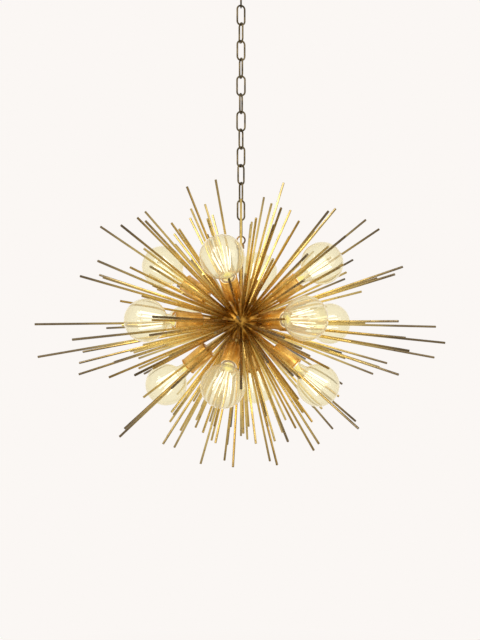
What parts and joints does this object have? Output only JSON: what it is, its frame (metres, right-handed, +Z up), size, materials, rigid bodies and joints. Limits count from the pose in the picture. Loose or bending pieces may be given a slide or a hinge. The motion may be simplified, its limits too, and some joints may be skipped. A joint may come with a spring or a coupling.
{
  "type": "sputnik chandelier",
  "caption": "Brass starburst chandelier: thin rods and globe lamps radiate from a ball that hangs on a link chain below a round ceiling canopy.",
  "frame": {"origin": "middle of the mounting strap's top face, where the ceiling canopy meets the ceiling", "axes": "+Z up, square to the ceiling; +X to the right and along the mounting strap's two screw holes, -Y towards the viewer"},
  "size_m": [0.9053, 0.8756, 1.1758],
  "materials": {
    "satin_brass": "brushed satin, slightly aged",
    "aged_brass": "antique satin",
    "zinc_steel": "zinc plated",
    "porcelain": "matt unglazed",
    "socket_metal": "bright pressed",
    "lamp_cap": "rolled thread",
    "lamp_glass": "clear"
  },
  "bodies": {
    "canopy_set": {"mounting_strap": "zinc_steel", "threaded_nipple": "zinc_steel", "strap_nut": "zinc_steel", "canopy": "aged_brass", "canopy_lock_ring": "aged_brass", "canopy_loop": "aged_brass"},
    "link_01": {"chain_link_01": "aged_brass"},
    "link_02": {"chain_link_02": "aged_brass"},
    "link_03": {"chain_link_03": "aged_brass"},
    "link_04": {"chain_link_04": "aged_brass"},
    "link_05": {"chain_link_05": "aged_brass"},
    "link_06": {"chain_link_06": "aged_brass"},
    "link_07": {"chain_link_07": "aged_brass"},
    "link_08": {"chain_link_08": "aged_brass"},
    "link_09": {"chain_link_09": "aged_brass"},
    "link_10": {"chain_link_10": "aged_brass"},
    "link_11": {"chain_link_11": "aged_brass"},
    "link_12": {"chain_link_12": "aged_brass"},
    "link_13": {"chain_link_13": "aged_brass"},
    "link_14": {"chain_link_14": "aged_brass"},
    "link_15": {"chain_link_15": "aged_brass"},
    "starburst": {"stem": "aged_brass", "stem_loop": "aged_brass", "hub": "satin_brass", "rods_long": "satin_brass", "rods_middle": "satin_brass", "rods_short": "satin_brass", "rods_stub": "satin_brass", "lamp_arms": "satin_brass", "socket_cups": "satin_brass", "socket_insulators": "porcelain", "socket_shells": "socket_metal", "socket_contacts": "socket_metal"},
    "lamp_01": {"lamp_01_glass": "lamp_glass", "lamp_01_cap": "lamp_cap"},
    "lamp_02": {"lamp_02_glass": "lamp_glass", "lamp_02_cap": "lamp_cap"},
    "lamp_03": {"lamp_03_glass": "lamp_glass", "lamp_03_cap": "lamp_cap"},
    "lamp_04": {"lamp_04_glass": "lamp_glass", "lamp_04_cap": "lamp_cap"},
    "lamp_05": {"lamp_05_glass": "lamp_glass", "lamp_05_cap": "lamp_cap"},
    "lamp_06": {"lamp_06_glass": "lamp_glass", "lamp_06_cap": "lamp_cap"},
    "lamp_07": {"lamp_07_glass": "lamp_glass", "lamp_07_cap": "lamp_cap"},
    "lamp_08": {"lamp_08_glass": "lamp_glass", "lamp_08_cap": "lamp_cap"},
    "lamp_09": {"lamp_09_glass": "lamp_glass", "lamp_09_cap": "lamp_cap"},
    "lamp_10": {"lamp_10_glass": "lamp_glass", "lamp_10_cap": "lamp_cap"},
    "lamp_11": {"lamp_11_glass": "lamp_glass", "lamp_11_cap": "lamp_cap"},
    "lamp_12": {"lamp_12_glass": "lamp_glass", "lamp_12_cap": "lamp_cap"}
  },
  "joints": [
    {"name": "swing_01", "type": "hinge", "parent": "canopy_set", "child": "link_01", "pos_m": [0, 0, -0.059], "axis": [0, 1, 0], "range_deg": [-25, 25]},
    {"name": "swing_02", "type": "hinge", "parent": "link_01", "child": "link_02", "pos_m": [0, 0, -0.09985], "axis": [1, 0, 0], "range_deg": [-8, 8]},
    {"name": "swing_03", "type": "hinge", "parent": "link_02", "child": "link_03", "pos_m": [0, 0, -0.14045], "axis": [0, 1, 0], "range_deg": [-8, 8]},
    {"name": "swing_04", "type": "hinge", "parent": "link_03", "child": "link_04", "pos_m": [0, 0, -0.18105], "axis": [0.9397, 0.342, 0], "range_deg": [-8, 8]},
    {"name": "swing_05", "type": "hinge", "parent": "link_04", "child": "link_05", "pos_m": [0, 0, -0.22165], "axis": [-0.4226, 0.9063, 0], "range_deg": [-8, 8]},
    {"name": "swing_06", "type": "hinge", "parent": "link_05", "child": "link_06", "pos_m": [0, 0, -0.26225], "axis": [0.9272, 0.3746, 0], "range_deg": [-8, 8]},
    {"name": "swing_07", "type": "hinge", "parent": "link_06", "child": "link_07", "pos_m": [0, 0, -0.30285], "axis": [-0.342, 0.9397, 0], "range_deg": [-8, 8]},
    {"name": "swing_08", "type": "hinge", "parent": "link_07", "child": "link_08", "pos_m": [0, 0, -0.34345], "axis": [1, 0, 0], "range_deg": [-8, 8]},
    {"name": "swing_09", "type": "hinge", "parent": "link_08", "child": "link_09", "pos_m": [0, 0, -0.38405], "axis": [0.2924, 0.9563, 0], "range_deg": [-8, 8]},
    {"name": "swing_10", "type": "hinge", "parent": "link_09", "child": "link_10", "pos_m": [0, 0, -0.42465], "axis": [-0.9962, 0.0872, 0], "range_deg": [-8, 8]},
    {"name": "swing_11", "type": "hinge", "parent": "link_10", "child": "link_11", "pos_m": [0, 0, -0.46525], "axis": [0.4384, 0.8988, 0], "range_deg": [-8, 8]},
    {"name": "swing_12", "type": "hinge", "parent": "link_11", "child": "link_12", "pos_m": [0, 0, -0.50585], "axis": [-0.8988, 0.4384, 0], "range_deg": [-8, 8]},
    {"name": "swing_13", "type": "hinge", "parent": "link_12", "child": "link_13", "pos_m": [0, 0, -0.54645], "axis": [0.7314, 0.682, 0], "range_deg": [-8, 8]},
    {"name": "swing_14", "type": "hinge", "parent": "link_13", "child": "link_14", "pos_m": [0, 0, -0.58705], "axis": [-0.3584, 0.9336, 0], "range_deg": [-8, 8]},
    {"name": "swing_15", "type": "hinge", "parent": "link_14", "child": "link_15", "pos_m": [0, 0, -0.62765], "axis": [0.866, 0.5, 0], "range_deg": [-8, 8]},
    {"name": "starburst_swing", "type": "hinge", "parent": "link_15", "child": "starburst", "pos_m": [0, 0, -0.66825], "axis": [-0.1736, 0.9848, 0], "range_deg": [-12, 12]},
    {"name": "lamp_01_out", "type": "slide", "parent": "starburst", "child": "lamp_01", "axis": [-0.1773, -0.7997, 0.5736], "range_m": [0, 0.028]},
    {"name": "lamp_02_out", "type": "slide", "parent": "starburst", "child": "lamp_02", "axis": [0.7997, -0.1773, 0.5736], "range_m": [0, 0.028]},
    {"name": "lamp_03_out", "type": "slide", "parent": "starburst", "child": "lamp_03", "axis": [0.1773, 0.7997, 0.5736], "range_m": [0, 0.028]},
    {"name": "lamp_04_out", "type": "slide", "parent": "starburst", "child": "lamp_04", "axis": [-0.7997, 0.1773, 0.5736], "range_m": [0, 0.028]},
    {"name": "lamp_05_out", "type": "slide", "parent": "starburst", "child": "lamp_05", "axis": [0.6018, -0.7986, 0], "range_m": [0, 0.028]},
    {"name": "lamp_06_out", "type": "slide", "parent": "starburst", "child": "lamp_06", "axis": [0.9205, 0.3907, 0], "range_m": [0, 0.028]},
    {"name": "lamp_07_out", "type": "slide", "parent": "starburst", "child": "lamp_07", "axis": [-0.6018, 0.7986, 0], "range_m": [0, 0.028]},
    {"name": "lamp_08_out", "type": "slide", "parent": "starburst", "child": "lamp_08", "axis": [-0.9205, -0.3907, 0], "range_m": [0, 0.028]},
    {"name": "lamp_09_out", "type": "slide", "parent": "starburst", "child": "lamp_09", "axis": [-0.1682, -0.7587, -0.6293], "range_m": [0, 0.028]},
    {"name": "lamp_10_out", "type": "slide", "parent": "starburst", "child": "lamp_10", "axis": [0.7587, -0.1682, -0.6293], "range_m": [0, 0.028]},
    {"name": "lamp_11_out", "type": "slide", "parent": "starburst", "child": "lamp_11", "axis": [0.1682, 0.7587, -0.6293], "range_m": [0, 0.028]},
    {"name": "lamp_12_out", "type": "slide", "parent": "starburst", "child": "lamp_12", "axis": [-0.7587, 0.1682, -0.6293], "range_m": [0, 0.028]}
  ]
}
